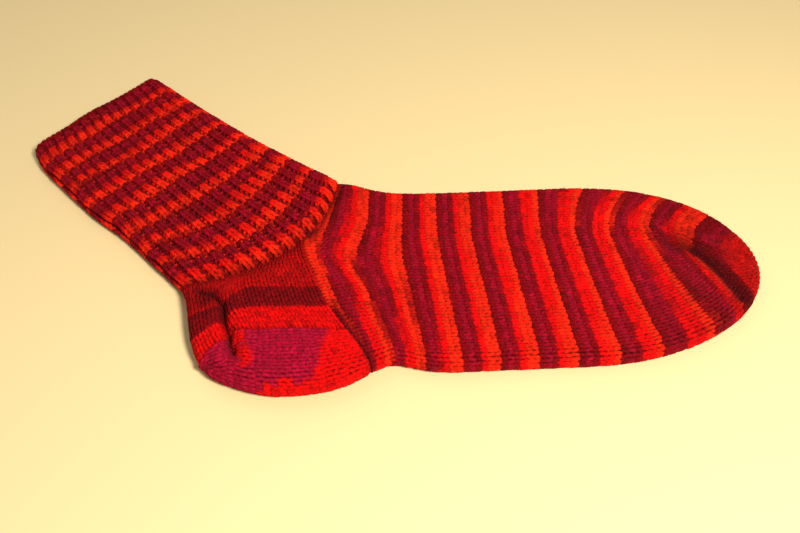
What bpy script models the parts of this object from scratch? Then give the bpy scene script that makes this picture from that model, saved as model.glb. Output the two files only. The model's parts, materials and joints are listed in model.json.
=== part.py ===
"""A hand-knitted ankle sock lying flat on its side, as its knitted sections.

The sock is one hollow tube. Every course of it is a flattened ring that runs from the front
edge (the instep side) over the upper face to the back edge (the heel and sole side) and home
along the lower face. The rings are laid along three stretches: the leg, the turn round the
ankle, where they fan out from a pivot at the front of the ankle, and the foot with its toe.
Each knitted section is a patch of that tube, given the thickness of the fabric.

Plan positions are worked out from the toe tip, with the foot along +X, and the whole sock is
then moved so that it stands centred on the origin.
"""

import math

import bpy
from mathutils import Vector

# Driving dimensions, in metres and degrees
FABRIC = 0.0022
SEAM_GAP = 0.0003
ANKLE_GAP = 0.0015
FOLD_GAP = 0.00045
LEG_HEIGHT = 0.0098
HEEL_HEIGHT = 0.0135
FOOT_HEIGHT = 0.0102
TIP_HEIGHT = 0.0060

FOOT_HALF_WIDTH = 0.0465
FOOT_LEAN = 0.05
FOOT_LEAN_CENTRE = -0.080
TOE_LENGTH = 0.075
TOE_END_ANGLE = 68.0
TIP_ANGLES = (69.5, 86.0)
TIP_THINS_FROM = -0.030

ANKLE = Vector((-0.174, 0.050))
ANKLE_RADIUS = 0.0040
ANKLE_TURN = (224.0, 270.0)
ANKLE_TO_BACK = 0.0890
HEEL_SWELL = 0.0245
HEEL_SWELL_ANGLES = (223.0, 247.0)
HEEL_TUCK = 0.0035
HEEL_TUCK_ANGLES = (258.0, 272.0)
HEEL_END = -0.150
HEEL_LEAD = 0.0040
INSTEP_LEVEL_FROM = -0.140
ARCH_NOTCH = 0.0025
ARCH_NOTCH_AT = -0.153
ARCH_NOTCH_SPREAD = 0.009

MOUTH_FRONT = Vector((-0.2730, 0.1236))
MOUTH_BACK = Vector((-0.3195, 0.0695))
CUFF_SHARE = 0.36
EDGE_RADIUS = 0.0013

# Where the knitted sections meet, in plan from the toe tip
FLAP_TOP = Vector((-0.2045, 0.0205))
PICK_UP_MIDDLE = Vector((-0.1830, -0.0060))
FLAP_FOOT = Vector((-0.1610, -0.0560))
GUSSET_END = Vector((-0.1180, -0.0020))
FLAP_END_ANGLE = 252.0
TOE_BAND_WIDTH = 0.0065
TOE_BAND_MOST = 0.24
TOE_BAND_SHARE = {"near": (0.40, 0.50), "far": (0.60, 0.50)}

LEG_RINGS = 4
ANKLE_STEP = 5.0
HEEL_STEP = 0.0045
GUSSET_STEP = 0.0072
GUSSET_FIRST_RING = 2
FOOT_STEP = 0.0110
TOE_STEP = 8.0
TIP_STEP = 5.0
ARC_STEPS = 3
FLAT_STEPS = 6
FACE_STEPS = 3
BAND_STEPS = 2

COLOURS = {
    "rib": (0.52, 0.015, 0.010),
    "foot": (0.66, 0.018, 0.006),
    "heel": (0.30, 0.010, 0.030),
    "gusset": (0.72, 0.035, 0.006),
    "toe": (0.45, 0.010, 0.010),
    "edge": (0.16, 0.004, 0.012),
}


def smooth(low, high, value):
    """0 below low, 1 above high and an even curve between."""
    t = min(max((value - low) / (high - low), 0.0), 1.0)
    return t * t * (3.0 - 2.0 * t)


def mix(a, b, t):
    return a + (b - a) * t


# The outline in plan


def foot_centre(x):
    return FOOT_LEAN * (x - FOOT_LEAN_CENTRE)


def foot_half_width(x):
    """Full width along the foot, then a quarter of an ellipse round the toe."""
    along_toe = max(0.0, (x + TOE_LENGTH) / TOE_LENGTH)
    return FOOT_HALF_WIDTH * math.sqrt(max(0.0, 1.0 - along_toe * along_toe))


def heel_reach(angle):
    """Distance from the ankle's pivot to the back edge, at an angle of the turn in degrees."""
    swell = HEEL_SWELL * smooth(*HEEL_SWELL_ANGLES, angle)
    tuck = HEEL_TUCK * smooth(*HEEL_TUCK_ANGLES, angle)
    return ANKLE_TO_BACK + swell - tuck


def sole_edge(x):
    """The back edge along the foot: the heel's swell runs out, with a notch where it ends."""
    flat = foot_centre(x) - foot_half_width(x)
    at_pivot = ANKLE.y - heel_reach(ANKLE_TURN[1])
    heel = 1.0 - smooth(ANKLE.x - HEEL_LEAD, HEEL_END, x)
    notch = ARCH_NOTCH * math.exp(-(((x - ARCH_NOTCH_AT) / ARCH_NOTCH_SPREAD) ** 2))
    return mix(flat, at_pivot, heel) + notch


class Ring:
    """One course: its front and back edge in plan, and the height of the flattened tube."""

    def __init__(self, front, back, height):
        self.front = front
        self.back = back
        self.across = (back - front).normalized()
        self.width = (back - front).length
        self.height = min(height, self.width)

    def face_stops(self):
        """Shares of the width at which the ring has its points, front edge to back edge."""
        radius = self.height / 2.0 / self.width
        steps = [radius * (1.0 - math.cos(math.pi / 2 * i / ARC_STEPS)) for i in range(ARC_STEPS)]
        flats = [mix(radius, 1.0 - radius, i / FLAT_STEPS) for i in range(FLAT_STEPS + 1)]
        return steps + flats + [1.0 - step for step in reversed(steps)]

    def at(self, share, upper):
        """The point of the upper or lower face at a share of the width."""
        radius = self.height / 2.0
        inset = min(share, 1.0 - share) * self.width
        rise = radius
        if inset < radius:
            rise = math.sqrt(max(0.0, radius**2 - (radius - inset) ** 2))
        flat = self.front + self.across * (share * self.width)
        return Vector((flat.x, flat.y, radius + (rise if upper else -rise)))

    def share_at(self, start, end):
        """The share of the width at which the line through two plan points crosses the ring."""
        along = end - start
        normal = Vector((-along.y, along.x))
        slope = self.across.dot(normal)
        return (start - self.front).dot(normal) / slope / self.width


def leg_ring(share):
    """A ring of the leg, from 0 at the mouth to 1 at the ankle."""
    ankle = ankle_ring(ANKLE_TURN[0])
    front = mix(MOUTH_FRONT, ankle.front, share)
    back = mix(MOUTH_BACK, ankle.back, share)
    return Ring(front, back, LEG_HEIGHT)


def ankle_ring(angle):
    turn = math.radians(angle)
    outward = Vector((math.cos(turn), math.sin(turn)))
    swell = smooth(ANKLE_TURN[0], HEEL_SWELL_ANGLES[1], angle)
    height = mix(LEG_HEIGHT, HEEL_HEIGHT, swell)
    return Ring(ANKLE + outward * ANKLE_RADIUS, ANKLE + outward * heel_reach(angle), height)


def foot_ring(x):
    centre = foot_centre(x)
    corner = ANKLE.y - ANKLE_RADIUS
    front_y = mix(corner, centre + foot_half_width(x), smooth(ANKLE.x, INSTEP_LEVEL_FROM, x))
    height = mix(HEEL_HEIGHT, FOOT_HEIGHT, smooth(ANKLE.x, HEEL_END, x))
    height = mix(height, TIP_HEIGHT, smooth(TIP_THINS_FROM, 0.0, x))
    return Ring(Vector((x, front_y)), Vector((x, sole_edge(x))), height)


def toe_ring(angle):
    """A ring of the toe by its angle on the ellipse: 0 where the toe begins, 90 at the tip."""
    return foot_ring(-TOE_LENGTH * (1.0 - math.sin(math.radians(angle))))


def spaced(start, end, step):
    """Values from start to end, evenly spaced about a step apart."""
    count = max(1, round(abs(end - start) / step))
    return [mix(start, end, i / count) for i in range(count + 1)]


def out_of_mouth():
    """The way out of the leg at its mouth, in plan."""
    across = leg_ring(0.0).across
    return Vector((across.y, -across.x))


def centre_of_plan():
    """The middle of the sock's box in plan."""
    rings = [leg_ring(0.0), leg_ring(1.0)]
    rings += [ankle_ring(angle) for angle in spaced(*ANKLE_TURN, 1.0)]
    rings += [foot_ring(x) for x in spaced(ANKLE.x, 0.0, 0.002)]
    points = [ring.front for ring in rings] + [ring.back for ring in rings]
    bead = out_of_mouth() * (2.0 * EDGE_RADIUS + SEAM_GAP)
    points += [MOUTH_FRONT + bead, MOUTH_BACK + bead]
    xs = [point.x for point in points]
    ys = [point.y for point in points]
    return Vector(((min(xs) + max(xs)) / 2, (min(ys) + max(ys)) / 2, 0.0))


# Meshes


def material_for(name):
    material = bpy.data.materials.get(name)
    if material is None:
        material = bpy.data.materials.new(name)
        material.use_nodes = True
        shader = material.node_tree.nodes["Principled BSDF"]
        shader.inputs["Base Color"].default_value = (*COLOURS[name], 1.0)
        shader.inputs["Roughness"].default_value = 0.9
        shader.inputs["Metallic"].default_value = 0.0
    return material


def add_object(name, data, colour, collection):
    data.materials.append(material_for(colour))
    section = bpy.data.objects.new(name, data)
    collection.objects.link(section)
    return section


def patch_faces(rows, closed):
    """The faces between each row of points and the next."""
    width = len(rows[0])
    faces = []
    for row in range(len(rows) - 1):
        for column in range(width if closed else width - 1):
            beside = (column + 1) % width
            here = row * width
            there = here + width
            faces.append((here + column, here + beside, there + beside, there + column))
    return faces


def knitted(name, rows, colour, collection, closed=False):
    """A patch of fabric from rows of points, one row to a ring, thickened into the tube."""
    mesh = bpy.data.meshes.new(name)
    points = [point - CENTRE for row in rows for point in row]
    mesh.from_pydata(points, [], patch_faces(rows, closed))
    mesh.shade_smooth()
    section = add_object(name, mesh, colour, collection)
    thicken = section.modifiers.new("Fabric thickness", "SOLIDIFY")
    thicken.thickness = FABRIC
    thicken.offset = -1.0
    thicken.use_even_offset = True
    return section


def whole_row(ring):
    """All the way round a ring, from the front edge over the upper face and back below."""
    stops = ring.face_stops()
    upper = [ring.at(share, True) for share in stops]
    lower = [ring.at(share, False) for share in reversed(stops[1:-1])]
    return upper + lower


def between(low, high, count=FACE_STEPS):
    return [mix(low, high, i / count) for i in range(count + 1)]


def face_row(ring, low, high, upper, count=FACE_STEPS):
    """A stretch of one face between two shares of the width, front to back."""
    row = [ring.at(share, upper) for share in between(low, high, count)]
    return row if upper else list(reversed(row))


def back_row(ring, near, far):
    """From a share of the upper face, round the back edge, to a share of the lower face."""
    arc = ring.face_stops()[-ARC_STEPS - 1 :]
    upper = between(near, arc[0])[:-1] + arc
    lower = list(reversed(arc[:-1])) + list(reversed(between(far, arc[0])[:-1]))
    return [ring.at(share, True) for share in upper] + [ring.at(share, False) for share in lower]


def front_row(ring, near, far):
    """From a share of the lower face, round the front edge, to a share of the upper face."""
    arc = ring.face_stops()[: ARC_STEPS + 1]
    lower = list(reversed(between(arc[-1], far)[1:])) + list(reversed(arc))
    upper = arc[1:] + between(arc[-1], near)[1:]
    return [ring.at(share, False) for share in lower] + [ring.at(share, True) for share in upper]


# Where one section ends and the next begins, as a share of a ring's width


def half_gap(ring):
    return SEAM_GAP / 2.0 / ring.width


def kept_flat(ring, share):
    """A share held back on the flat of the face, clear of the rounded back edge."""
    return min(share, 1.0 - (ring.height / 2.0 + FABRIC) / ring.width)


def pick_up_line(ring):
    """The side edge of the heel flap, along which the gusset's stitches are picked up."""
    upper_part = ring.share_at(FLAP_TOP, PICK_UP_MIDDLE)
    lower_part = ring.share_at(PICK_UP_MIDDLE, FLAP_FOOT)
    return kept_flat(ring, max(upper_part, lower_part))


def instep_line(ring):
    """The side of the instep, along the gusset's decreases and then on to the toe."""
    if ring.front.x > GUSSET_END.x:
        return 0.5
    return ring.share_at(FLAP_TOP, GUSSET_END)


def sole_line(ring):
    """The side of the sole, which opens out along the gusset."""
    if ring.front.x > GUSSET_END.x:
        return 0.5
    return kept_flat(ring, ring.share_at(FLAP_FOOT, GUSSET_END))


def toe_band_line(ring, side):
    start, end = TOE_BAND_SHARE[side]
    return mix(start, end, smooth(-TOE_LENGTH, 0.0, ring.front.x))


def gap_after(ring, share):
    return share + half_gap(ring)


def gap_before(ring, share):
    return share - half_gap(ring)


# The sections


def make_cast_on_edge(collection):
    """The rounded first row round the mouth."""
    mouth = leg_ring(0.0)
    inset = mouth.across * EDGE_RADIUS
    path = Ring(mouth.front + inset, mouth.back - inset, LEG_HEIGHT - 2.0 * EDGE_RADIUS)
    outward = out_of_mouth() * (EDGE_RADIUS + SEAM_GAP)
    shift = Vector((outward.x, outward.y, EDGE_RADIUS)) - CENTRE
    curve = bpy.data.curves.new("cast_on_edge", "CURVE")
    curve.dimensions = "3D"
    curve.bevel_depth = EDGE_RADIUS
    curve.bevel_resolution = 1
    spline = curve.splines.new("POLY")
    row = whole_row(path)
    spline.points.add(len(row) - 1)
    for place, point in zip(spline.points, row):
        place.co = (*(point + shift), 1.0)
    spline.use_cyclic_u = True
    add_object("cast_on_edge", curve, "edge", collection)


def make_leg(collection):
    length = (MOUTH_FRONT - ANKLE).length
    cuff_end = CUFF_SHARE - SEAM_GAP / length
    leg_end = 1.0 - ANKLE_GAP / length
    cuff = [leg_ring(s) for s in spaced(0.0, cuff_end, 1.0 / LEG_RINGS)]
    leg = [leg_ring(s) for s in spaced(CUFF_SHARE, leg_end, 1.0 / LEG_RINGS)]
    knitted("rib_cuff", [whole_row(ring) for ring in cuff], "rib", collection, closed=True)
    knitted("rib_leg", [whole_row(ring) for ring in leg], "rib", collection, closed=True)


def heel_rings():
    """The rings of the ankle's turn on the flap, and past it on the heel's turn."""
    flap = [ankle_ring(angle) for angle in spaced(ANKLE_TURN[0], FLAP_END_ANGLE, ANKLE_STEP)]
    turn = [ankle_ring(angle) for angle in spaced(FLAP_END_ANGLE, ANKLE_TURN[1], ANKLE_STEP)]
    under = [foot_ring(x) for x in spaced(ANKLE.x, FLAP_FOOT.x, HEEL_STEP)]
    return flap, turn + under[1:]


def gusset_rings():
    return [foot_ring(x) for x in spaced(FLAP_FOOT.x, GUSSET_END.x, GUSSET_STEP)]


def foot_rings():
    toe_start = -TOE_LENGTH - SEAM_GAP / 2
    return [foot_ring(x) for x in spaced(GUSSET_END.x, toe_start, FOOT_STEP)]


def moved_on(ring, distance):
    """The same ring a little further along the sock."""
    onward = Vector((-ring.across.y, ring.across.x)) * distance
    return Ring(ring.front + onward, ring.back + onward, ring.height)


def make_heel(collection):
    flap, turn = heel_rings()
    turn[0] = moved_on(turn[0], FOLD_GAP)
    for name, rings in (("heel_flap", flap), ("heel_turn", turn)):
        rows = []
        for ring in rings:
            side = gap_after(ring, pick_up_line(ring))
            rows.append(back_row(ring, side, side))
        knitted(name, rows, "heel", collection)


def make_gussets(collection):
    """A triangle on each face between the flap, the instep and the sole."""
    flap, turn = heel_rings()
    picked_up = flap[GUSSET_FIRST_RING:-1] + turn
    opened = gusset_rings()[1:-1]
    for name, upper in (("gusset_near", True), ("gusset_far", False)):
        ends = [(ring, pick_up_line(ring)) for ring in picked_up]
        ends += [(ring, sole_line(ring)) for ring in opened]
        rows = []
        for ring, high in ends:
            low = gap_after(ring, instep_line(ring))
            rows.append(face_row(ring, low, gap_before(ring, high), upper))
        knitted(name, rows, "gusset", collection)


def make_foot(collection):
    flap, turn = heel_rings()
    rows = []
    for ring in flap[:-1] + turn + gusset_rings()[1:] + foot_rings()[1:]:
        side = gap_before(ring, instep_line(ring))
        rows.append(front_row(ring, side, side))
    knitted("instep", rows, "foot", collection)
    opened = gusset_rings()
    opened[0] = moved_on(opened[0], FOLD_GAP)
    rows = []
    for ring in opened + foot_rings()[1:]:
        side = gap_after(ring, sole_line(ring))
        rows.append(back_row(ring, side, side))
    knitted("sole", rows, "foot", collection)


def make_toe_tip(rows, collection):
    """The last few courses, drawn together into a solid wad."""
    width = len(rows[0])
    last = (len(rows) - 1) * width
    faces = patch_faces(rows, True)
    faces.append(list(reversed(range(width))))
    faces.append([last + column for column in range(width)])
    mesh = bpy.data.meshes.new("toe_tip")
    mesh.from_pydata([point - CENTRE for row in rows for point in row], [], faces)
    add_object("toe_tip", mesh, "edge", collection)


def make_toe(collection):
    """Two halves of the toe, the bands of decreases between them and the closed tip."""
    rings = [toe_ring(angle) for angle in spaced(0.0, TOE_END_ANGLE, TOE_STEP)]
    rings[0] = foot_ring(-TOE_LENGTH + SEAM_GAP / 2)
    fronts = []
    backs = []
    bands = {"near": [], "far": []}
    for ring in rings:
        half_band = min(TOE_BAND_WIDTH / ring.width, TOE_BAND_MOST) / 2.0
        near = toe_band_line(ring, "near")
        far = toe_band_line(ring, "far")
        fronts.append(front_row(ring, near - half_band, far - half_band))
        backs.append(back_row(ring, near + half_band, far + half_band))
        for side, middle in (("near", near), ("far", far)):
            low = gap_after(ring, gap_after(ring, middle - half_band))
            high = gap_before(ring, gap_before(ring, middle + half_band))
            bands[side].append(face_row(ring, low, high, side == "near", BAND_STEPS))
    knitted("toe_instep_half", fronts, "toe", collection)
    knitted("toe_sole_half", backs, "toe", collection)
    for side, rows in bands.items():
        knitted(f"toe_decreases_{side}", rows, "toe", collection)
    tip = [toe_ring(angle) for angle in spaced(*TIP_ANGLES, TIP_STEP)]
    make_toe_tip([whole_row(ring) for ring in tip], collection)


def clear_scene():
    for item in list(bpy.data.objects):
        bpy.data.objects.remove(item, do_unlink=True)


clear_scene()
CENTRE = centre_of_plan()
SOCK = bpy.data.collections.new("knitted_sock")
bpy.context.scene.collection.children.link(SOCK)
make_cast_on_edge(SOCK)
make_leg(SOCK)
make_heel(SOCK)
make_gussets(SOCK)
make_foot(SOCK)
make_toe(SOCK)
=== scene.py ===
"""A hand-knitted striped wool sock lying flat on its side, knitted stitch by stitch.

Each stretch of fabric is a table of points on the middle of the cloth: rows of knitting along one
way, and a coordinate across the face, from 0 at the front edge to 2 at the back, along the other.
Every stitch is a loop of yarn laid over that table. Behind the loops lies a lining, which is the
inside of the same cloth. Lengths here are in millimetres until a mesh is made. The toe's tip is at
x = 0 and the heel lies at negative x.
"""

import json
import math

import bpy
import numpy as np
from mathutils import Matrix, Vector


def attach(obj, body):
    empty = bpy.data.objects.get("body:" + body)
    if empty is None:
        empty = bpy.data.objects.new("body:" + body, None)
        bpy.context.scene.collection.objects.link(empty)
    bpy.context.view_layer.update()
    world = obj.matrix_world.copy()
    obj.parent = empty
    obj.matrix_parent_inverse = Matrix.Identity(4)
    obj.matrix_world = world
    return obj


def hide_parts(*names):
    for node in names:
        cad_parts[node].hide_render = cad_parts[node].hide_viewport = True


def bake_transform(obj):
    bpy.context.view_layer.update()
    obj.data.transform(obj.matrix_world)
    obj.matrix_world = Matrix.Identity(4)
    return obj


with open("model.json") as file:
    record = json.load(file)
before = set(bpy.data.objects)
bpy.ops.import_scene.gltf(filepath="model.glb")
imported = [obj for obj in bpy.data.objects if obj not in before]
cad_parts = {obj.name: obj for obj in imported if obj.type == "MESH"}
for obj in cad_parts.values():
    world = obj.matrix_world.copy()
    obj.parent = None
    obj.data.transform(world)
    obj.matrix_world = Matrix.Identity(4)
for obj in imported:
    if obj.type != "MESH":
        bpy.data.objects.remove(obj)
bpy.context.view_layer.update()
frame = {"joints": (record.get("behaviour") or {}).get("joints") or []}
JOINTS = {joint["name"]: joint for joint in frame["joints"]}
RNG = np.random.default_rng(24)

# The sock's plan and thickness
ANKLE = np.array((-174.0, 50.0))
FOOT_START = -172.0
TOE_FROM = -75.0
HALF_FOOT = 46.5
ANKLE_EDGE = 46.0
HEEL_BACK = -57.8
FLAP_TOP = 14.0
TURN_FROM = -223.5
TURN_WIDTH = 54.5
TURN_RIM = np.array(((-224.5, -48.5), (-157.5, -53.0)))
MOUTH_FRONT = np.array((-271.0, 125.0))
MOUTH_BACK = np.array((-319.5, 69.5))
RIB_END_FRONT = np.array((-177.0, 51.0))
RIB_END_BACK = np.array((-238.0, -11.8))
RIB_END_BOW = 17.0
LEG_HEIGHT = 9.8
HEEL_HEIGHT = 13.0
FOOT_HEIGHT = 10.2
TIP_HEIGHT = 8.0
HALF_CLOTH = 1.2

# The knitting
LEG_ROWS = 54
CUFF_ROWS = 35
RIB_PAIRS = 15
KNIT_SHARE = 0.6
RIB_DEPTH = 0.9
RIB_RADIUS = 0.86
FOOT_ROW = 2.45
FOOT_COLUMNS = 31
FIRST_ROWS = 5.0
FLAP_ROWS = 20
TURN_ROWS = 24
STRIPE_ROWS = 6.12
LEG_STRIPE_ROWS = 6.0
YARN_RADIUS = 0.78
LOOP_STEPS = 10
LOOP_DEPTH = 0.55
LOOP_LEAN = 0.16
PLAIN_REACH = 0.88
RIB_REACH = 1.0
PURL_EARLY = 0.7
YARN_SIDES = 6
YARN_PLIES = 4
FIBRES = 4500
FIBRE_LENGTH = 2.2
FIBRE_HALF_WIDTH = 0.035
ABOVE_FLOOR = 0.1
ACROSS = 240

# The yarn's dyes, as linear colours, and a red darkened as painted shade
RED = (0.50, 0.0007, 0.0003)
ORANGE = (0.54, 0.0110, 0.0010)
SCARLET = (0.44, 0.0026, 0.0006)
MAROON = (0.130, 0.0001, 0.0014)
PURPLE = (0.200, 0.0006, 0.0080)
WINE = (0.155, 0.0002, 0.0030)
# A red painted darker as shade, for the flap's rows in the shadow of the rib's end
PAINTED_SHADE_RED = (0.300, 0.0006, 0.0004)
HEEL_PURPLE = (0.265, 0.0014, 0.0165)


def smooth(low, high, value):
    t = np.clip((value - low) / (high - low), 0.0, 1.0)
    return t * t * (3.0 - 2.0 * t)


def bump(value, middle, spread):
    return np.exp(-(((value - middle) / spread) ** 2))


def bow_share(place):
    """The bow of the rib's end at a place across it, from 0 at both edges to 1."""
    return np.sin(np.pi * place) ** 0.75


def unit(vectors):
    return vectors / np.maximum(np.linalg.norm(vectors, axis=-1, keepdims=True), 1e-9)


def distance_to(points, path):
    """Plan distance from each point to a polyline."""
    start, along = path[:-1], np.diff(path, axis=0)
    offset = points[..., None, :] - start
    share = np.clip((offset * along).sum(-1) / (along**2).sum(-1), 0.0, 1.0)
    return np.linalg.norm(offset - share[..., None] * along, axis=-1).min(-1)


def near(points, path, spread):
    """1 on a polyline, falling to 0 at about twice the spread from it."""
    return bump(distance_to(points, path), 0.0, spread)


def moved(path, right):
    """A polyline carried along x."""
    return path + np.array((right, 0.0))


def lengths_along(path):
    """Distance from a path's start to each of its points."""
    steps = np.linalg.norm(np.diff(path, axis=0), axis=1)
    return np.concatenate([[0.0], np.cumsum(steps)])


def resampled(path, length, at):
    """Points of a path at distances from its start."""
    return np.stack([np.interp(at, length, path[:, k]) for k in range(path.shape[1])], -1)


def along_path(path, shares):
    """Points at shares of a polyline's length."""
    length = lengths_along(path)
    return resampled(path, length, np.asarray(shares) * length[-1])


# The outline


def middle_line(x):
    """The middle of the foot, which slants a little."""
    return 0.05 * (x + 80.0)


def half_width(x):
    """Half the foot's width, which the toe rounds off like an ellipse."""
    along_toe = np.clip((x - TOE_FROM) / -TOE_FROM, 0.0, 1.0)
    return HALF_FOOT * np.sqrt(1.0 - along_toe**2)


def heel_share(x):
    """1 at the heel and 0 along the foot."""
    return 1.0 - smooth(-178.0, -150.0, x)


def foot_front(x):
    level = middle_line(x) + half_width(x)
    ankle = ANKLE_EDGE + 2.4 * (1.0 - smooth(-177.0, -158.0, x))
    return ankle + (level - ankle) * smooth(-174.0, -140.0, x)


def foot_back(x):
    flat = middle_line(x) - half_width(x)
    return flat + (HEEL_BACK - flat) * heel_share(x) + 4.5 * bump(x, -153.0, 12.0)


def heel_reach(angle):
    """The heel's edge, as a distance from the ankle at an angle in degrees."""
    return 89.0 + 24.2 * smooth(223.0, 247.0, angle) - 5.4 * smooth(255.0, 272.0, angle)


def toe_stations():
    """Places along the toe, closer together as its edge turns across the foot."""
    return TOE_FROM * (1.0 - np.sin(np.radians(np.linspace(0.0, 90.0, 40))))


def front_edge():
    x = np.concatenate([np.arange(-182.0, TOE_FROM, 4.0), toe_stations()])
    return np.stack([x, foot_front(x)], -1)


def back_edge():
    angle = np.arange(224.0, 270.0, 3.0)
    turn = np.radians(angle)
    outward = np.stack([np.cos(turn), np.sin(turn)], -1)
    heel = ANKLE + outward * heel_reach(angle)[:, None]
    x = np.concatenate([np.arange(-174.0, TOE_FROM, 4.0), toe_stations()])
    return np.concatenate([heel, np.stack([x, foot_back(x)], -1)])


FRONT = front_edge()
BACK = back_edge()


def leg_edges(share):
    """The leg's front and back edges, at shares of its length from the mouth."""
    share = np.asarray(share)[..., None]
    front = MOUTH_FRONT + (RIB_END_FRONT - MOUTH_FRONT) * share
    back = MOUTH_BACK + (RIB_END_BACK - MOUTH_BACK) * share
    outward = unit(MOUTH_FRONT - MOUTH_BACK)
    drawn_in = 1.7 + 2.0 * np.sin(np.pi * np.clip(share, 0.0, 1.0))
    bulge = 2.6 * smooth(-0.03, 0.08, share) * (1.0 - smooth(0.4, 0.65, share)) - 0.8
    return front - outward * drawn_in, back - outward * bulge


LEG_FRONT, LEG_BACK = leg_edges(np.linspace(-0.2, 1.2, 29))


def line_of(*corners):
    return np.array(corners)


# Where the foot's stitches were picked up along the heel, from front to back
PICK_UP = line_of(
    (-180.0, 47.5),
    (-186.0, 30.0),
    (-190.0, 14.0),
    (-188.5, 4.0),
    (-183.5, -9.0),
    (-178.5, -22.0),
    (-173.0, -30.5),
    (-166.0, -40.0),
    (-161.0, -48.0),
    (-158.5, -53.0),
)
PICK_UP_LOW = PICK_UP[5:9]
# The fold across the heel, the hollow at its top and the red edge at its foot
CREASE = line_of(
    (-230.0, -16.0), (-224.0, -17.5), (-219.5, -22.0), (-217.5, -31.0), (-212.5, -45.0)
)
PIT = np.array((-226.0, -20.0))
HEEL_EDGE = line_of((-213.0, -34.0), (-211.0, -41.0), (-207.0, -48.0))
# The toe's band of decreases, the ridge beside it and the fold below it
TOE_BAND = line_of(
    (-75.0, 15.5),
    (-60.0, 18.0),
    (-40.0, 18.5),
    (-31.0, 15.0),
    (-24.0, 10.5),
    (-17.0, 5.5),
    (-8.0, 1.5),
    (0.0, 1.5),
)
TOE_RIDGE = line_of(
    (-60.0, 19.0), (-31.0, 18.0), (-24.0, 14.5), (-17.0, 9.0), (-8.0, 1.0), (-2.0, -5.0)
)
TOE_FOLD_LINE = line_of((-35.0, 13.0), (-26.5, 8.5), (-21.0, 1.5), (-16.0, -7.0), (-12.5, -16.0))


# The shape of the cloth above the table


def ripple(points, size, seed):
    """Gentle unevenness, the same at every run."""
    waves = np.random.default_rng(seed).normal(size=(5, 3))
    total = np.zeros(points.shape[:-1])
    for kx, ky, phase in waves:
        total += np.sin((kx * points[..., 0] + ky * points[..., 1]) / size + phase * 3.0)
    return total / 3.0


def inset_from(points, edges):
    """How far points lie inside the line that the middle of the cloth turns round at the edges."""
    return np.min([distance_to(points, edge) for edge in edges], axis=0) - HALF_CLOTH


def tube_height(points, edges, height):
    """Height of the middle of the cloth over a flattened tube with round edges."""
    radius = height / 2.0 - HALF_CLOTH
    inset = np.clip(inset_from(points, edges), 0.0, radius)
    return height / 2.0 + np.sqrt(np.maximum(radius**2 - (radius - inset) ** 2, 0.0))


def with_relief(points, edges, height, relief):
    """The upper face, with its relief fading out towards the edges, where it meets the lower."""
    return tube_height(points, edges, height) + relief * smooth(0.0, 3.0, inset_from(points, edges))


def sock_height(points):
    x = points[..., 0]
    height = FOOT_HEIGHT + (HEEL_HEIGHT - FOOT_HEIGHT) * heel_share(x)
    return height + (TIP_HEIGHT - FOOT_HEIGHT) * smooth(-30.0, 0.0, x)


RIB_ONWARD = unit(np.array((0.695, -0.719)))


def past_rib(points):
    """How far points lie past the end of the rib, which bows out over the heel, and past the line
    between the ends of that bow."""
    end = RIB_END_BACK - RIB_END_FRONT
    offset = points - RIB_END_FRONT
    across = np.clip((offset * end).sum(-1) / (end**2).sum(), 0.0, 1.0)
    onward = (offset * RIB_ONWARD).sum(-1)
    return onward - RIB_END_BOW * bow_share(across), onward


def foot_relief(points):
    """Folds and ridges of the upper face of the heel, the foot and the toe."""
    x, y = points[..., 0], points[..., 1]
    under_rib = 1.0 - smooth(-1.0, 8.0, past_rib(points)[0])
    toe = smooth(-66.0, -40.0, x)
    heel = 1.0 - smooth(FOOT_START, -160.0, x)
    relief = 0.35 * ripple(points, 16.0, 3) + 0.15 * ripple(points, 6.0, 8)
    relief += -3.4 * under_rib
    relief += -4.8 * near(points, CREASE, 1.8)
    relief += 1.4 * near(points, moved(CREASE, -5.0), 3.0)
    relief += 1.2 * near(points, moved(CREASE, 4.0), 2.4)
    relief += 0.7 * near(points, PICK_UP, 2.2)
    relief += -1.3 * near(points, moved(PICK_UP_LOW[1:], 2.0), 1.5)
    relief += toe * 1.1 * near(points, TOE_RIDGE, 2.6)
    relief += -2.4 * near(points, TOE_FOLD_LINE, 3.0)
    relief += heel * bump(np.hypot(x + 190.0, y + 44.0), 0.0, 14.0)
    return relief


def foot_shadow(points):
    """How much of its colour the upper face keeps in its folds, from 0 to 1."""
    kept = 1.0 - 0.90 * near(points, CREASE, 1.9)
    kept *= 1.0 - 0.75 * bump(np.linalg.norm(points - PIT, axis=-1), 0.0, 5.5)
    kept *= 1.0 - 0.72 * near(points, TOE_FOLD_LINE, 4.6)
    kept *= 1.0 - 0.20 * smooth(-60.0, -25.0, points[..., 0])
    kept *= 1.0 - 0.60 * (1.0 - smooth(0.0, 6.0, past_rib(points)[0]))
    kept *= 1.0 - 0.45 * near(points, moved(PICK_UP_LOW, 1.5), 1.6)
    return kept


def rib_shadow(points):
    """The same for the leg, which turns down at the end of the rib."""
    return 1.0 - 0.62 * smooth(-4.0, 1.0, past_rib(points)[0])


def rib_relief(points):
    relief = 0.5 * ripple(points, 18.0, 5) + 0.25 * ripple(points, 7.0, 9)
    past = past_rib(points)[0]
    return relief + 1.1 * smooth(-16.0, -5.0, past) - 3.6 * smooth(-5.0, 1.0, past)


def leg_height(points):
    """The leg thickens towards the heel."""
    return LEG_HEIGHT + 2.4 * smooth(-54.0, 0.0, past_rib(points)[1])


def upper_foot(points):
    return with_relief(points, (FRONT, BACK), sock_height(points), foot_relief(points))


def lower_foot(points):
    height = sock_height(points)
    return height - tube_height(points, (FRONT, BACK), height)


def upper_leg(points):
    return with_relief(points, (LEG_FRONT, LEG_BACK), leg_height(points), rib_relief(points))


def lower_leg(points):
    height = leg_height(points)
    return height - tube_height(points, (LEG_FRONT, LEG_BACK), height)


# The rows of knitting, as lines across a face


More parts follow.
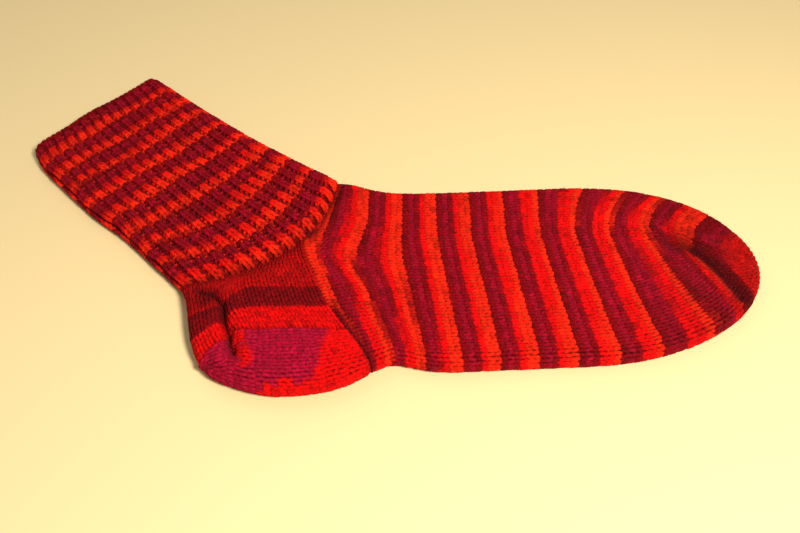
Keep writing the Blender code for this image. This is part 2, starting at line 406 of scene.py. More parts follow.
def even(count):
    """Shares from 0 to 1, closer together towards both ends."""
    return 0.5 - 0.5 * np.cos(np.pi * np.linspace(0.0, 1.0, count))


def towards_edge():
    """Shares from 0 to 1, closer together towards the end."""
    return np.sin(np.pi / 2 * np.linspace(0.0, 1.0, ACROSS))


def leg_line(row):
    share = row / LEG_ROWS
    front, back = leg_edges(share)
    outward = unit(front - back)
    uneven = outward * 0.28
    front = front + uneven * (2.0 + math.sin(row * 1.1) + math.sin(row * 0.43 + 1.0))
    back = back - uneven * (2.0 + math.sin(row * 0.9 + 2.0) + math.sin(row * 0.37))
    inward = -outward * HALF_CLOTH
    place = even(ACROSS)
    across = (front + inward) + (back - front - 2.0 * inward) * place[:, None]
    bow = RIB_END_BOW * bow_share(place) * smooth(0.35, 1.0, share) ** 1.3
    wave = 0.8 * np.sin(place * 9.0 + row * 0.21) * np.sin(np.pi * place)
    return across + RIB_ONWARD * (bow + wave)[:, None]


def foot_row_lean(x, y):
    """How far a row of the foot lies to the right of a straight one."""
    ankle = 1.0 - smooth(FOOT_START, -140.0, x)
    toe = smooth(-100.0, -15.0, x)
    tip = smooth(-60.0, -30.0, x)
    middle = np.interp(x, TOE_BAND[:, 0], TOE_BAND[:, 1])
    lean = 0.13 * np.maximum(0.0, middle - y) - 7.0 * ankle * bump(y, 2.0, 13.0)
    lean += 5.0 * ankle * smooth(-20.0, -45.0, y)
    lean += 18.0 * toe * (np.maximum(0.0, y - middle) / 21.0) ** 2
    lean += 7.0 * toe * (np.maximum(0.0, middle - y) / 50.0) ** 2
    return lean + 0.34 * tip * np.maximum(0.0, middle - y)


def foot_line(row):
    """A row of the foot. The first ones spread out from the heel, and the last ones crowd at the
    toe's tip."""
    x0 = FOOT_START + FOOT_ROW * (row - FIRST_ROWS)
    x0 = min(x0, -1.0 + 0.2 * (x0 + 1.0))
    y = np.linspace(60.0, -66.0, 800)  # from beyond the front edge to beyond the back one
    x = x0 + foot_row_lean(np.full_like(y, x0), y)
    if row < FIRST_ROWS:
        start = np.interp(-y, -PICK_UP[:, 1], PICK_UP[:, 0]) + 1.0
        full = FOOT_START + foot_row_lean(np.full_like(y, FOOT_START), y)
        x = start + (full - start) * (row / FIRST_ROWS)
    clear = np.minimum(HALF_CLOTH - 0.2, 0.3 * (foot_front(x) - foot_back(x)))
    inside = np.flatnonzero((y < foot_front(x) - clear) & (y > foot_back(x) + clear))
    top, bottom = y[inside[0]], y[inside[-1]]
    level = top + (bottom - top) * even(ACROSS)
    return np.stack([np.interp(-level, -y, x), level], -1)


def flap_level(row):
    return FLAP_TOP - FOOT_ROW * row


def flap_drop(x):
    """How far the heel flap's rows fall away towards the back edge."""
    return 13.0 * smooth(-209.0, -227.0, x)


def flap_line(row):
    """A row of the heel flap, from where the foot was picked up to the heel's edge."""
    level = flap_level(row)
    right = np.interp(-level, -PICK_UP[:, 1], PICK_UP[:, 0]) - 0.5
    x = np.linspace(right, -245.0, 600)
    points = np.stack([x, level - flap_drop(x)], -1)
    outside = np.flatnonzero(distance_to(points, BACK) < HALF_CLOTH + 0.02)
    last = outside[0] if len(outside) else np.argmin(distance_to(points, BACK))
    left = x[last]
    x = right + (left - right) * towards_edge()
    return np.stack([x, level - flap_drop(x)], -1)


def turn_line(row):
    """A row of the heel's turn, from the foot of the flap out to the edge of the heel."""
    share = row / TURN_ROWS
    x = TURN_FROM + TURN_WIDTH * share
    start = np.array((x, flap_level(FLAP_ROWS) - flap_drop(x)))
    edge = BACK[(BACK[:, 0] < -150.0) & (BACK[:, 1] < -44.0)]
    lengths = np.linspace(0.0, 1.0, 200)
    rim = along_path(edge, lengths)
    first, last = (np.argmin(np.linalg.norm(rim - end, axis=1)) for end in TURN_RIM)
    at = lengths[first] + (lengths[last] - lengths[first]) * share
    end = along_path(edge, [at])[0]
    inward = unit(start - end) * HALF_CLOTH
    return start + (end + inward - start) * towards_edge()[:, None]


# The table of a patch of cloth


class Cloth:
    """Points and outward normals on the middle of the cloth, by row and by place across. Place 1 is
    half way along a row, or on the toe's band of decreases where the cloth has that band."""

    def __init__(self, line, rows, surface, upper=True, band=False):
        self.first = rows[0] - 1.0
        self.under = not upper
        points, self.lengths, self.middles = [], [], []
        for row in np.arange(rows[0] - 1, rows[1] + 2):
            plan = line(float(row))
            solid = np.concatenate([plan, surface(plan)[:, None]], axis=1)
            length = lengths_along(solid)
            middle = length[-1] / 2.0
            if band:
                middle = length[np.argmin(distance_to(plan, TOE_BAND))]
            place = np.linspace(0.0, 2.0, ACROSS + 1)
            beyond = middle + (length[-1] - middle) * (place - 1.0)
            points.append(resampled(solid, length, np.where(place < 1.0, middle * place, beyond)))
            self.lengths.append(length[-1])
            self.middles.append(middle)
        self.points = np.array(points)
        across = np.gradient(self.points, axis=1)
        onward = np.gradient(self.points, axis=0)
        self.normals = unit(np.cross(across, onward)) * (1.0 if upper else -1.0)

    def at(self, row, place):
        """Point and normal at a row and a place across, between the table's own."""
        r = np.clip(row - self.first, 0.0, len(self.points) - 1.001)
        p = np.clip(place, 0.0, 2.0) * ACROSS / 2.0
        p = np.minimum(p, ACROSS - 0.001)
        i, j = r.astype(int), p.astype(int)
        a, b = (r - i)[..., None], (p - j)[..., None]
        found = []
        for table in (self.points, self.normals):
            low = table[i, j] * (1 - b) + table[i, j + 1] * b
            high = table[i + 1, j] * (1 - b) + table[i + 1, j + 1] * b
            found.append(low * (1 - a) + high * a)
        return found[0], unit(found[1])

    def index_of(self, row):
        return int(round(row - self.first))

    def place_of(self, row, length):
        """The place across that lies at a distance along a row."""
        index = self.index_of(row)
        total, middle = self.lengths[index], self.middles[index]
        beyond = 1.0 + (length - middle) / (total - middle)
        return np.where(length < middle, length / middle, beyond)


# Colours of the yarn


def mixed(a, b, share):
    return a + (b - a) * share[..., None]


def striped(position, period, palette):
    """Colour of self-striping yarn; palette gives (rows into the period, colour)."""
    phase = np.mod(position, period)
    stops = np.array([stop for stop, _ in palette] + [period])
    colours = np.array([colour for _, colour in palette])
    index = np.searchsorted(stops, phase, side="right") - 1
    here = colours[index % len(colours)]
    before = colours[(index - 1) % len(colours)]
    return mixed(before, here, smooth(0.0, 0.35, phase - stops[index]))


FOOT_STRIPES = ((0.0, RED), (1.5, ORANGE), (3.0, MAROON), (4.1, PURPLE), (5.2, WINE))
LEG_STRIPES = ((0.0, SCARLET), (1.1, ORANGE), (2.6, MAROON), (3.8, PURPLE), (4.8, WINE))
# The flap's first rows, under the rib's end, are red with painted shade
FLAP_STRIPES = ((0.0, PAINTED_SHADE_RED), (11.2, MAROON), (15.2, RED), (19.0, ORANGE))
FLAP_PERIOD = 60.0  # longer than the flap, so its stripes don't repeat
LAST_DARK = FIRST_ROWS + 9.0 * STRIPE_ROWS + 3.0
LAST_STRIPE = LAST_DARK + 5.0


def leg_colour(row, place, points):
    drift = 0.35 * np.sin(place * 4.0 + row * 0.8)
    return striped(row - 3.0 + 0.3 * place + drift, LEG_STRIPE_ROWS, LEG_STRIPES) * 1.15


def foot_colour(row, place, points):
    """Stripes that slow down near the toe and end in a plain red, wine-coloured where the foot was
    picked up, and maroon in the toe's fold: partly the last stripe's dye, partly painted shade."""
    drift = 0.12 * np.sin(place * 5.0 + row)
    slowed = np.minimum(row, LAST_DARK - 0.2 + np.maximum(row - LAST_DARK - 0.9, 0.0) * 0.65)
    colour = striped(slowed - FIRST_ROWS + 0.15 * place + drift, STRIPE_ROWS, FOOT_STRIPES)
    colour = mixed(colour, np.array(SCARLET) * 0.8, smooth(0.0, 1.5, row - LAST_STRIPE))
    # In the toe's fold the last maroon stripe is widened: partly its dye, partly painted shade of
    # the fold
    from_fold = distance_to(points[..., :2], moved(TOE_FOLD_LINE[1:], 1.5))
    colour = mixed(colour, np.array(MAROON), 1.0 - smooth(3.2, 4.6, from_fold))
    wide = 1.2 * bump(points[..., 1], -3.0, 9.0)
    picked_up = 1.0 - smooth(0.6, 1.4, row - wide)
    orange = smooth(18.0, 10.0, points[..., 1]) * smooth(-28.0, -24.0, points[..., 1])
    return mixed(mixed(colour, np.array(WINE), picked_up), np.array(ORANGE), picked_up * orange)


def flap_colour(row, place, points):
    return striped(row, FLAP_PERIOD, FLAP_STRIPES)


def turn_colour(row, place, points):
    """Purple up to a line across the heel, then red, turning orange at the back."""
    x, y = points[..., 0], points[..., 1]
    boundary = -177.0 + 0.22 * (y + 34.0) - 26.0 * smooth(-55.0, -60.0, y)
    purple = 1.0 - smooth(-1.2, 1.2, x - boundary)
    purple *= smooth(1.6, 3.2, distance_to(points[..., :2], HEEL_EDGE))
    orange = smooth(FOOT_START, -160.0, x) * smooth(-48.0, -56.0, y)
    red = mixed(np.array(RED), np.array(ORANGE), orange)
    return mixed(red, np.array(HEEL_PURPLE), purple)


# Meshes


def to_frame(points):
    """From millimetres about the toe tip to metres in the shared frame."""
    pivot = JOINTS["ankle_fold"]["pos_m"]
    shift = np.array((pivot[0] * 1000.0 - ANKLE[0], pivot[1] * 1000.0 - ANKLE[1], 0.0))
    return (points + shift) / 1000.0


def make_object(name, points, quads, colours, uvs=None):
    mesh = bpy.data.meshes.new(name)
    mesh.vertices.add(len(points))
    mesh.vertices.foreach_set("co", to_frame(points).astype(np.float32).ravel())
    mesh.loops.add(quads.size)
    mesh.loops.foreach_set("vertex_index", quads.astype(np.int32).ravel())
    mesh.polygons.add(len(quads))
    mesh.polygons.foreach_set("loop_start", np.arange(0, quads.size, 4, dtype=np.int32))
    mesh.update(calc_edges=True)
    rgba = np.concatenate([colours, np.ones((len(colours), 1))], axis=1)
    wool = mesh.attributes.new("wool", "FLOAT_COLOR", "POINT")
    wool.data.foreach_set("color", rgba.astype(np.float32).ravel())
    if uvs is not None:
        layer = mesh.uv_layers.new(name="strand")
        layer.data.foreach_set("uv", uvs.astype(np.float32).ravel())
    mesh.shade_smooth()
    made = bpy.data.objects.new(name, mesh)
    bpy.context.scene.collection.objects.link(made)
    return made


class Yarn:
    """Gathers runs of yarn, each a tube along a line, into one piece."""

    def __init__(self):
        self.points, self.quads, self.colours, self.uvs = [], [], [], []
        self.count = 0

    def add(self, centres, normals, colours, radii):
        steps = len(centres)
        along = unit(np.gradient(centres, axis=0))
        side = unit(np.cross(along, normals))
        rise = np.cross(side, along)
        angle = np.arange(YARN_SIDES) * 2.0 * np.pi / YARN_SIDES
        ring = side[:, None] * np.cos(angle)[:, None] + rise[:, None] * np.sin(angle)[:, None]
        self.points.append((centres[:, None] + ring * radii[:, None, None]).reshape(-1, 3))
        self.colours.append(np.repeat(colours, YARN_SIDES, axis=0))
        i = np.arange(steps - 1)[:, None] * YARN_SIDES
        j = np.arange(YARN_SIDES)[None, :]
        k = (j + 1) % YARN_SIDES
        quads = np.stack([i + j, i + k, i + YARN_SIDES + k, i + YARN_SIDES + j], -1)
        self.quads.append(quads.reshape(-1, 4) + self.count)
        self.count += steps * YARN_SIDES
        length = lengths_along(centres)
        turn = np.stack([j, j + 1, j + 1, j], -1) / YARN_SIDES + np.zeros((steps - 1, 1, 1))
        far = np.stack([length[:-1], length[:-1], length[1:], length[1:]], -1)
        far = far[:, None, :] + np.zeros((1, YARN_SIDES, 1))
        self.uvs.append(np.stack([far, turn], -1).reshape(-1, 2))

    def fuzz(self, count, reach):
        """Fine fibres that stand out from the yarn, as thin tapering blades of two quads."""
        base = np.concatenate(self.points)
        tint = np.concatenate(self.colours)
        chosen = RNG.integers(0, len(base) - YARN_SIDES, count)
        root = base[chosen]
        wild = unit(RNG.normal(0.0, 1.0, (count, 3)) + np.array((0.0, 0.0, 0.5)))
        bend = unit(RNG.normal(0.0, 1.0, (count, 3)))
        length = reach * RNG.uniform(0.4, 1.0, (count, 1))
        side = unit(np.cross(wild, bend)) * FIBRE_HALF_WIDTH
        middle = root + wild * length * 0.55
        tip = middle + unit(wild + bend * 0.9) * length * 0.45
        for end in (middle, tip):
            end[:, 2] = np.maximum(end[:, 2], ABOVE_FLOOR)
        corners = [root - side, root + side, middle + side, middle - side, tip, tip + side * 0.3]
        colours = np.clip(tint[chosen] * 1.2 + 0.01, 0.0, 1.0)
        start = self.count + np.arange(count)[:, None] * len(corners)
        quads = np.concatenate([start + (0, 1, 2, 3), start + (3, 2, 5, 4)])
        self.points.append(np.stack(corners, 1).reshape(-1, 3))
        self.colours.append(np.repeat(colours, len(corners), axis=0))
        self.quads.append(quads)
        self.uvs.append(np.zeros((quads.size, 2)))
        self.count += count * len(corners)

    def made(self, name):
        parts = (self.points, self.quads, self.colours, self.uvs)
        return make_object(name, *(np.concatenate(part) for part in parts))


def even_columns(cloth, row):
    return np.linspace(0.0, 2.0, FOOT_COLUMNS + 1)


def rib_columns(cloth, row):
    """Knit and purl columns; one face begins with a knit one and the other with a purl one."""
    share = 1.0 - KNIT_SHARE if cloth.under else KNIT_SHARE
    pair = np.arange(RIB_PAIRS)[:, None] + np.array((0.0, share))
    return np.append(pair.ravel(), RIB_PAIRS) * 2.0 / RIB_PAIRS


def columns_of(width):
    """Columns that keep a width, however long the row is."""

    def columns(cloth, row):
        total = cloth.lengths[cloth.index_of(row)]
        return np.linspace(0.0, 2.0, max(2, round(total / width)) + 1)

    return columns


def toe_columns(cloth, row):
    """Columns counted in from both edges, meeting at the two that run along the decreases."""
    index = cloth.index_of(row)
    total, middle = cloth.lengths[index], cloth.middles[index]
    width = cloth.lengths[0] / FOOT_COLUMNS
    band = min(2.0 * width, total)
    spare = 0.35 * width
    fore = np.arange(0.0, max(middle - band / 2.0 - spare, 0.01), width)
    aft = total - np.arange(0.0, max(total - middle - band / 2.0 - spare, 0.01), width)
    held = np.array((middle - band / 2.0, middle, middle + band / 2.0))
    narrowest = 0.2
    held = held[(held > narrowest) & (held < total - narrowest)]
    return cloth.place_of(row, np.concatenate([fore, held, aft[::-1]]))


def knit(yarn, cloth, rows, columns, colour, rib=False, shadow=None):
    """Works the rows of a cloth, each one a run of loops from edge to edge. t is the angle round
    one loop, across and along its yarn's place in it, and proud how far it stands off the cloth."""
    t = np.arange(LOOP_STEPS) / LOOP_STEPS * 2.0 * np.pi
    across, along = t / (2.0 * np.pi), -np.cos(t)
    for row in range(*rows):
        bounds = columns(cloth, row)
        count = len(bounds) - 1
        if count < 1:
            continue
        width = np.diff(bounds)[:, None]
        uneven = RNG.normal(0.0, 1.0, (4, count, 1))
        first = -1.0 if cloth.under else 1.0
        face = np.ones((count, 1))
        if rib:
            face = np.where(np.arange(count) % 2 == 0, first, -first)[:, None]
        lean = LOOP_LEAN * np.sin(2.0 * t) + 0.02 * uneven[0]
        place = bounds[:-1, None] + width * (across + lean)
        reach = (RIB_REACH if rib else PLAIN_REACH) * (1.0 + 0.06 * uneven[1])
        upward = row + reach * along + 0.05 * uneven[2]
        if rib:
            legs = np.abs(np.sin(t))
            middle = (t > np.pi / 2) & (t < 1.5 * np.pi)
            proud = LOOP_DEPTH * face * np.where(middle, -np.cos(2.0 * t), legs)
            proud = proud + RIB_DEPTH * face * np.sin(np.pi * across)
            lit = smooth(-1.3, 0.7, proud)
        else:
            proud = np.tile(-LOOP_DEPTH * np.cos(2.0 * t), (count, 1))
            lit = smooth(-0.65, 0.35, proud)
        proud = proud + 0.06 * uneven[3]
        place, upward, proud = place.ravel(), upward.ravel(), proud.ravel()
        points, normals = cloth.at(upward, place)
        centres = points + normals * proud[:, None]
        # Each stitch's tone differs at random. Yarn that sinks into the cloth between the loops is
        # painted darker as shade, and shadow() paints shade into the folds.
        tone_and_painted_shade = np.repeat(RNG.normal(1.0, 0.12, count), LOOP_STEPS)
        tone_and_painted_shade *= 0.26 + 0.86 * lit.ravel()
        strayed = points + np.repeat(RNG.normal(0.0, 0.7, (count, 3)), LOOP_STEPS, axis=0)
        early = RNG.normal(0.0, 0.04, count) - PURL_EARLY * (face[:, 0] < 0.0)
        if shadow:
            tone_and_painted_shade *= shadow(points[:, :2])
        colours = colour(row + np.repeat(early, LOOP_STEPS), place, strayed) * tone_and_painted_shade[:, None]
        radii = np.full(len(centres), RIB_RADIUS if rib else YARN_RADIUS)
        yarn.add(centres, normals, np.clip(colours, 0.0, 1.0), radii)


def side_places():
    """Places across a lining, closer together where it turns round the edges."""
    edge = 0.14
    front = np.linspace(0.0, edge, 7)[:-1]
    middle = np.linspace(edge, 2.0 - edge, 36)[:-1]
    return np.concatenate([front, middle, np.linspace(2.0 - edge, 2.0, 7)])


def lining(name, parts, behind=0.35):
    """The inside of the cloth, just behind the loops, over some rows of one or more patches."""
    points, quads, colours, count = [], [], [], 0
    for cloth, rows, colour in parts:
        row = np.linspace(rows[0], rows[1], int((rows[1] - rows[0]) * 1.5) + 2)
        grid = np.meshgrid(row, side_places(), indexing="ij")
        found, normals = cloth.at(grid[0], grid[1])
        points.append((found - normals * behind).reshape(-1, 3))
        # Painted shade: the lining takes 0.4 of the yarn's colour, so the gaps between the loops
        # look dark
        tint = colour(grid[0], grid[1], found) * 0.4
        colours.append(tint.reshape(-1, 3))
        index = count + np.arange(grid[0].size).reshape(grid[0].shape)
        ways = [index[:-1, :-1], index[:-1, 1:], index[1:, 1:], index[1:, :-1]]
        quads.append(np.stack(ways, -1).reshape(-1, 4))
        count += grid[0].size
    return make_object(name, *(np.concatenate(part) for part in (points, quads, colours)))


# Materials


def wool_material(name, twist, sheen):
    """Heathered wool with pale flecks, partly pale fibres and partly painted highlights; with a
    twist, its bumps follow the plies of the yarn.
    """
    material = bpy.data.materials.new(name)
    material.use_nodes = True
    nodes, links = material.node_tree.nodes, material.node_tree.links
    shader = nodes["Principled BSDF"]
    shader.inputs["Sheen Weight"].default_value = sheen
    shader.inputs["Sheen Roughness"].default_value = 0.5
    shader.inputs["Sheen Tint"].default_value = (1.0, 0.15, 0.12, 1.0)
    shader.inputs["Specular IOR Level"].default_value = 0.07
    wool = nodes.new("ShaderNodeAttribute")
    wool.attribute_name = "wool"
    where = nodes.new("ShaderNodeTexCoord")
    heather = nodes.new("ShaderNodeTexNoise")
    heather.inputs["Scale"].default_value = 1100.0
    heather.inputs["Detail"].default_value = 3.0
    tone = nodes.new("ShaderNodeMapRange")
    tone.inputs["From Min"].default_value = 0.3
    tone.inputs["From Max"].default_value = 0.7
    tone.inputs["To Min"].default_value = 0.55
    tone.inputs["To Max"].default_value = 1.42
    # Pale flecks: partly pale fibres of the heathered wool, partly painted highlights on the
    # stitches
    fleck_and_highlight_noise = nodes.new("ShaderNodeTexNoise")
    fleck_and_highlight_noise.inputs["Scale"].default_value = 2600.0
    fleck_and_highlight_noise.inputs["Detail"].default_value = 2.0
    pale_fleck_and_highlight = nodes.new("ShaderNodeMapRange")
    pale_fleck_and_highlight.inputs["From Min"].default_value = 0.58
    pale_fleck_and_highlight.inputs["From Max"].default_value = 0.72
    pale_fleck_and_highlight.inputs["To Max"].default_value = 0.34
    fleck_and_highlight_mix = nodes.new("ShaderNodeMix")
    fleck_and_highlight_mix.data_type = "RGBA"
    fleck_and_highlight_mix.blend_type = "ADD"
    fleck_and_highlight_mix.inputs["B"].default_value = (0.80, 0.020, 0.040, 1.0)
    toned = nodes.new("ShaderNodeVectorMath")
    toned.operation = "SCALE"
    rough = nodes.new("ShaderNodeMapRange")
    rough.inputs["To Min"].default_value = 0.72
    rough.inputs["To Max"].default_value = 0.95
    links.new(where.outputs["Object"], heather.inputs["Vector"])
    links.new(heather.outputs["Fac"], tone.inputs["Value"])
    links.new(wool.outputs["Color"], toned.inputs[0])
    links.new(tone.outputs["Result"], toned.inputs["Scale"])
    links.new(where.outputs["Object"], fleck_and_highlight_noise.inputs["Vector"])
    links.new(fleck_and_highlight_noise.outputs["Fac"], pale_fleck_and_highlight.inputs["Value"])
    links.new(pale_fleck_and_highlight.outputs["Result"], fleck_and_highlight_mix.inputs["Factor"])
    links.new(toned.outputs["Vector"], fleck_and_highlight_mix.inputs["A"])
    links.new(fleck_and_highlight_mix.outputs["Result"], shader.inputs["Base Color"])
    links.new(heather.outputs["Fac"], rough.inputs["Value"])
    links.new(rough.outputs["Result"], shader.inputs["Roughness"])
    relief = nodes.new("ShaderNodeBump")
    relief.inputs["Strength"].default_value = 0.5
    relief.inputs["Distance"].default_value = 0.00025
    if twist:
        strand = nodes.new("ShaderNodeUVMap")
        strand.uv_map = "strand"
        turn = nodes.new("ShaderNodeMapping")
        turn.inputs["Scale"].default_value = (0.55, 1.0, 1.0)
        split = nodes.new("ShaderNodeSeparateXYZ")
        total = nodes.new("ShaderNodeMath")
        total.operation = "ADD"
        plies = nodes.new("ShaderNodeMath")
        plies.operation = "MULTIPLY"
        plies.inputs[1].default_value = YARN_PLIES * 2.0 * math.pi
        wave = nodes.new("ShaderNodeMath")
        wave.operation = "SINE"
        links.new(strand.outputs["UV"], turn.inputs["Vector"])
        links.new(turn.outputs["Vector"], split.inputs["Vector"])
        links.new(split.outputs["X"], total.inputs[0])
        links.new(split.outputs["Y"], total.inputs[1])
        links.new(total.outputs["Value"], plies.inputs[0])
        links.new(plies.outputs["Value"], wave.inputs[0])
        height = nodes.new("ShaderNodeMath")
        height.operation = "ADD"
        links.new(wave.outputs["Value"], height.inputs[0])
        links.new(heather.outputs["Fac"], height.inputs[1])
        links.new(height.outputs["Value"], relief.inputs["Height"])
    else:
        bumps = nodes.new("ShaderNodeTexVoronoi")
        bumps.inputs["Scale"].default_value = 420.0
        links.new(where.outputs["Object"], bumps.inputs["Vector"])
        links.new(bumps.outputs["Distance"], relief.inputs["Height"])
    links.new(relief.outputs["Normal"], shader.inputs["Normal"])
    return material


YARN_WOOL = wool_material("yarn_wool", True, 0.03)
INNER_WOOL = wool_material("inner_wool", False, 0.02)


def finish_piece(piece, material, nodes=()):
    piece.data.materials.append(material)
    if nodes:
        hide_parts(*nodes)
    return piece


# The cloths


def foot_row_at(x):
    return int(FIRST_ROWS + (x - FOOT_START) / FOOT_ROW)


TOE_ROW = foot_row_at(TOE_FROM)
LAST_ROW = foot_row_at(-2.0) + 1
LEG_UPPER = Cloth(leg_line, (0, LEG_ROWS), upper_leg)
LEG_LOWER = Cloth(leg_line, (0, LEG_ROWS), lower_leg, upper=False)
FOOT_UPPER = Cloth(foot_line, (0, TOE_ROW + 1), upper_foot)
FOOT_LOWER = Cloth(foot_line, (0, TOE_ROW + 1), lower_foot, upper=False)
TOE_UPPER = Cloth(foot_line, (TOE_ROW, LAST_ROW), upper_foot, band=True)
TOE_LOWER = Cloth(foot_line, (TOE_ROW, LAST_ROW), lower_foot, upper=False, band=True)
FLAP_UPPER = Cloth(flap_line, (0, FLAP_ROWS), upper_foot)
FLAP_LOWER = Cloth(flap_line, (0, FLAP_ROWS), lower_foot, upper=False)
TURN_UPPER = Cloth(turn_line, (0, TURN_ROWS), upper_foot)
TURN_LOWER = Cloth(turn_line, (0, TURN_ROWS), lower_foot, upper=False)


def graft(yarn):
    """The seam that closes the tip, as a run of loops along its edge, above and below."""
    stitch_length = 2.6
    turn = np.radians(np.linspace(70.0, 110.0, 130))
    x = TOE_FROM * (1.0 - np.sin(turn)) - 1.1
    y = middle_line(x) + (HALF_FOOT - 1.0) * np.cos(turn)
    length = np.concatenate([[0.0], np.cumsum(np.hypot(np.diff(x), np.diff(y)))])
    out = np.stack([np.sin(turn), np.cos(turn), np.zeros_like(x)], -1)
    stitch = length * 2.0 * np.pi / stitch_length
    for side in (-1.0, 1.0):
        z = TIP_HEIGHT / 2.0 + side * (1.1 + 0.7 * np.cos(stitch))
        centres = np.stack([x, y, z], -1) + out * (0.3 * np.sin(stitch))[:, None]
        colours = np.array(SCARLET) * (0.75 + 0.15 * np.sin(stitch))[:, None]
        yarn.add(centres, out, colours, np.full(len(x), YARN_RADIUS))


def knitted_piece(name, works, nodes, ending=None):
    """One piece of knitting, from stretches of (cloth, rows, columns, colour, ribbed)."""
    yarn = Yarn()
    for cloth, rows, columns, colour, rib in works:
        shadow = None if cloth.under else (rib_shadow if rib else foot_shadow)
        knit(yarn, cloth, rows, columns, colour, rib, shadow)
    if ending:
        ending(yarn)
    yarn.fuzz(FIBRES, FIBRE_LENGTH)
    return finish_piece(yarn.made(name), YARN_WOOL, nodes)


SPLIT = 30
NARROW = columns_of(3.1)

upper_rib = knitted_piece(
    "rib_upper_part",
    [(LEG_UPPER, (0, CUFF_ROWS), rib_columns, leg_colour, True)],
    ["rib_cuff"],
)
under_rib = knitted_piece(
    "rib_upper_part_under",
    [(LEG_LOWER, (0, CUFF_ROWS), rib_columns, leg_colour, True)],
    [],
)
lower_rib = knitted_piece(
    "rib_lower_part",
    [
        (LEG_UPPER, (CUFF_ROWS, LEG_ROWS), rib_columns, leg_colour, True),
        (LEG_LOWER, (CUFF_ROWS, LEG_ROWS), rib_columns, leg_colour, True),
    ],
    ["rib_leg"],
)
heel = knitted_piece(
    "heel_knitting",
    [
        (FLAP_UPPER, (0, FLAP_ROWS), NARROW, flap_colour, False),
        (FLAP_LOWER, (0, FLAP_ROWS), NARROW, flap_colour, False),
        (TURN_UPPER, (0, TURN_ROWS), NARROW, turn_colour, False),
        (TURN_LOWER, (0, TURN_ROWS), NARROW, turn_colour, False),
    ],
    ["heel_flap", "heel_turn"],
)
foot_near = knitted_piece(
    "foot_knitting",
    [(FOOT_UPPER, (0, SPLIT), even_columns, foot_colour, False)],
    ["gusset_near", "instep"],
)
foot_far = knitted_piece(
    "foot_knitting_under",
    [(FOOT_LOWER, (0, SPLIT), even_columns, foot_colour, False)],
    ["gusset_far", "sole"],
)
toe_near = knitted_piece(
    "toe_knitting",
    [
        (FOOT_UPPER, (SPLIT, TOE_ROW), even_columns, foot_colour, False),
        (TOE_UPPER, (TOE_ROW, LAST_ROW), toe_columns, foot_colour, False),
    ],
    ["toe_instep_half", "toe_decreases_near", "toe_tip"],
    graft,
)
toe_far = knitted_piece(
    "toe_knitting_under",
    [
        (FOOT_LOWER, (SPLIT, TOE_ROW), even_columns, foot_colour, False),
        (TOE_LOWER, (TOE_ROW, LAST_ROW), toe_columns, foot_colour, False),
    ],
    ["toe_sole_half", "toe_decreases_far"],
)


def make_cast_on():
    """Two strands twisted round each other along the edge of the mouth."""
    twist_length = 5.2
    place = np.linspace(0.0, 2.0, 500)
    row = np.full_like(place, -0.7)
    upper = LEG_UPPER.at(row, place)[0]
    lower = LEG_LOWER.at(row, place[::-1])[0]
    path = np.concatenate([upper, lower[1:]])
    length = lengths_along(path)
    along = unit(np.gradient(path, axis=0))
    out = np.append(unit(MOUTH_FRONT - RIB_END_FRONT), 0.0) + np.zeros_like(path)
    rise = np.cross(along, out)
    yarn = Yarn()
    for start in (0.0, math.pi):
        turn = length * 2.0 * np.pi / twist_length + start
        centres = path + 0.75 * (out * np.cos(turn)[:, None] + rise * np.sin(turn)[:, None])
        colours = np.array(MAROON) * (1.3 + 0.5 * np.sin(length / 7.0))[:, None]
        yarn.add(centres, rise, colours, np.full(len(path), YARN_RADIUS * 0.9))
    return finish_piece(yarn.made("cast_on_strands"), YARN_WOOL, ["cast_on_edge"])


cast_on = make_cast_on()

BEHIND_RIB = 0.6
cuff_lining = lining(
    "rib_upper_lining",
    [(cloth, (-0.6, CUFF_ROWS), leg_colour) for cloth in (LEG_UPPER, LEG_LOWER)],
    BEHIND_RIB,
)
leg_lining = lining(
    "rib_lower_lining",
    [(cloth, (CUFF_ROWS, LEG_ROWS), leg_colour) for cloth in (LEG_UPPER, LEG_LOWER)],
    BEHIND_RIB,
)
heel_lining = lining(
    "heel_lining",
    [
        (FLAP_UPPER, (-0.5, FLAP_ROWS), flap_colour),
        (FLAP_LOWER, (-0.5, FLAP_ROWS), flap_colour),
        (TURN_UPPER, (0, TURN_ROWS), turn_colour),
        (TURN_LOWER, (0, TURN_ROWS), turn_colour),
    ],
)
foot_lining = lining(
    "foot_lining",
    [(cloth, (-0.5, SPLIT), foot_colour) for cloth in (FOOT_UPPER, FOOT_LOWER)],
)
toe_lining = lining(
    "toe_lining",
    [
        (FOOT_UPPER, (SPLIT, TOE_ROW), foot_colour),
        (FOOT_LOWER, (SPLIT, TOE_ROW), foot_colour),
        (TOE_UPPER, (TOE_ROW, LAST_ROW), foot_colour),
        (TOE_LOWER, (TOE_ROW, LAST_ROW), foot_colour),
    ],
)
for piece, slot in (
    (cuff_lining, "rib_wool"),
    (leg_lining, "rib_wool"),
    (heel_lining, "heel_wool"),
    (foot_lining, "foot_wool"),
    (toe_lining, "foot_wool"),
):
    finish_piece(piece, INNER_WOOL)

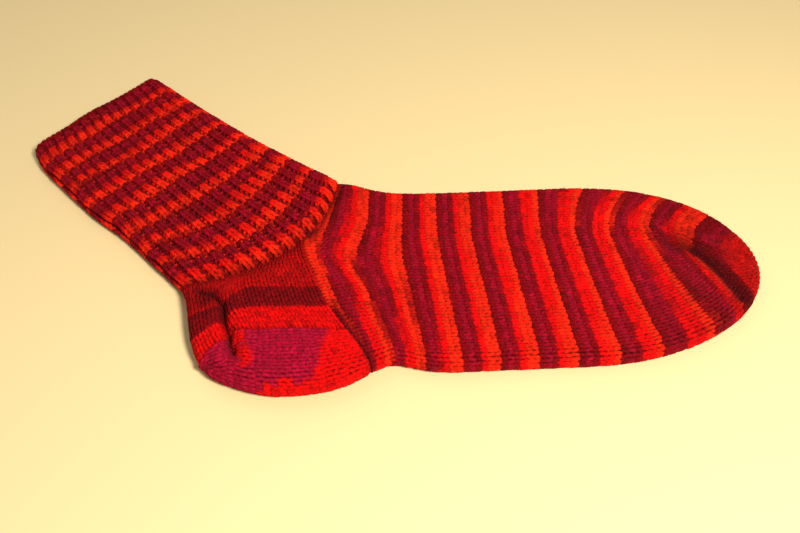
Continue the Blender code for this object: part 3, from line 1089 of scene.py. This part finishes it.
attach(cast_on, "cuff")
for piece in (upper_rib, under_rib, cuff_lining):
    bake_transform(piece)
for piece in (lower_rib, leg_lining):
    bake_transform(piece)
for piece in (heel, foot_near, foot_far, heel_lining, foot_lining):
    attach(piece, "foot")
for piece in (toe_near, toe_far, toe_lining):
    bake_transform(piece)


# Floor, light and camera


def make_floor():
    mesh = bpy.data.meshes.new("floor")
    reach, below = 3.0, 0.0002
    corners = [(x * reach, y * reach, 0.0) for x, y in ((-1, -1), (1, -1), (1, 1), (-1, 1))]
    mesh.from_pydata(corners, [], [(0, 1, 2, 3)])
    made = bpy.data.objects.new("floor", mesh)
    bpy.context.scene.collection.objects.link(made)
    made.location.z = -below
    material = bpy.data.materials.new("floor")
    material.use_nodes = True
    shader = material.node_tree.nodes["Principled BSDF"]
    shader.inputs["Base Color"].default_value = (0.72, 0.55, 0.27, 1.0)
    shader.inputs["Roughness"].default_value = 0.6
    mesh.materials.append(material)


def make_light(name, place, target, size, power, colour):
    data = bpy.data.lights.new(name, "AREA")
    data.size = size
    data.energy = power
    data.color = colour
    lamp = bpy.data.objects.new(name, data)
    lamp.location = place
    lamp.rotation_euler = (Vector(target) - Vector(place)).to_track_quat("-Z", "Y").to_euler()
    bpy.context.scene.collection.objects.link(lamp)


def make_camera():
    data = bpy.data.cameras.new("camera")
    data.lens = 38.25
    data.sensor_width = 36.0
    data.clip_start = 0.01
    camera = bpy.data.objects.new("camera", data)
    camera.location = (0.0112, -0.2574, 0.277)
    camera.rotation_euler = (math.radians(40.0), 0.0, 0.0)
    bpy.context.scene.collection.objects.link(camera)
    bpy.context.scene.camera = camera


def make_world():
    world = bpy.data.worlds.new("studio")
    world.use_nodes = True
    sky = world.node_tree.nodes["Background"]
    sky.inputs["Color"].default_value = (1.0, 0.96, 0.9, 1.0)
    sky.inputs["Strength"].default_value = 0.24
    bpy.context.scene.world = world


make_floor()
make_light("key", (0.26, -0.42, 0.55), (0.0, -0.02, 0.0), 0.12, 9.0, (1.0, 0.97, 0.92))
make_light("fill", (-0.4, 0.3, 0.7), (0.0, 0.0, 0.0), 0.8, 1.5, (1.0, 0.98, 0.95))
make_camera()
make_world()
bpy.context.scene.view_settings.view_transform = "Standard"
